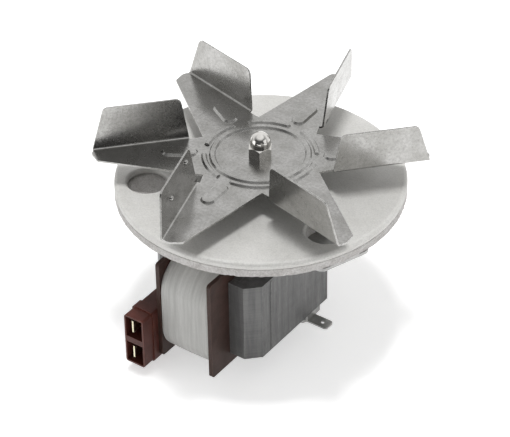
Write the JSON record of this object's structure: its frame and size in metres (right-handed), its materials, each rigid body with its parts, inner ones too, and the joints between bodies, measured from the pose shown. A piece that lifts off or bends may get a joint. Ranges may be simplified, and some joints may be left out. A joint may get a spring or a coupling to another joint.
{
  "type": "oven fan motor",
  "caption": "Shaded-pole motor under a round mounting plate, turning a folded sheet-metal fan that moves hot air inside an oven.",
  "frame": {"origin": "on the shaft axis at the mounting plate's top face", "axes": "+Z along the shaft towards the fan, +X along the coil towards the earth blade, -Y towards the coil"},
  "size_m": [0.1358, 0.1512, 0.1082],
  "materials": {
    "fan_steel": "semi-bright aluminised sheet",
    "nut_chrome": "bright plated",
    "plate_steel": "aluminised sheet with a fine spangle",
    "gasket_fibre": "compressed mineral fibre",
    "zinc_steel": "zinc plated",
    "shaft_steel": "ground",
    "sintered_bronze": "oiled sintered bronze",
    "felt": "oiled felt",
    "spring_steel": "blued",
    "nylon": "natural",
    "lamination_steel": "stacked electrical sheet",
    "rotor_steel": "turned electrical sheet",
    "cage_aluminium": "die cast",
    "copper": "bare copper",
    "brown_moulding": "glass-filled, satin",
    "coil_tape": "glass-cloth tape over the winding",
    "tinned_brass": "tinned"
  },
  "bodies": {
    "stator": {"mounting_plate": "plate_steel", "insulation_gasket": "gasket_fibre", "support_bracket": "zinc_steel", "spacer_tubes": "zinc_steel", "upper_bearing_bracket": "zinc_steel", "upper_bearing": "sintered_bronze", "lower_bearing_bracket": "zinc_steel", "lower_bearing": "sintered_bronze", "oil_felts": "felt", "bearing_clips": "spring_steel", "stator_frame": "lamination_steel", "stator_core": "lamination_steel", "shading_rings": "copper", "coil_bobbin": "brown_moulding", "coil_winding": "coil_tape", "connector_housing": "brown_moulding", "terminal_blades": "tinned_brass", "through_screws": "zinc_steel", "screw_washers": "zinc_steel", "screw_nuts": "zinc_steel"},
    "rotor": {"fan_wheel": "fan_steel", "dome_nut": "nut_chrome", "fan_seat_washer": "zinc_steel", "shaft": "shaft_steel", "thrust_washers": "nylon", "rotor_core": "rotor_steel", "rotor_cage": "cage_aluminium"}
  },
  "joints": [
    {"name": "rotor_spin", "type": "hinge", "parent": "stator", "child": "rotor", "pos_m": [0, 0, 0], "axis": [0, 0, 1], "continuous": true}
  ]
}
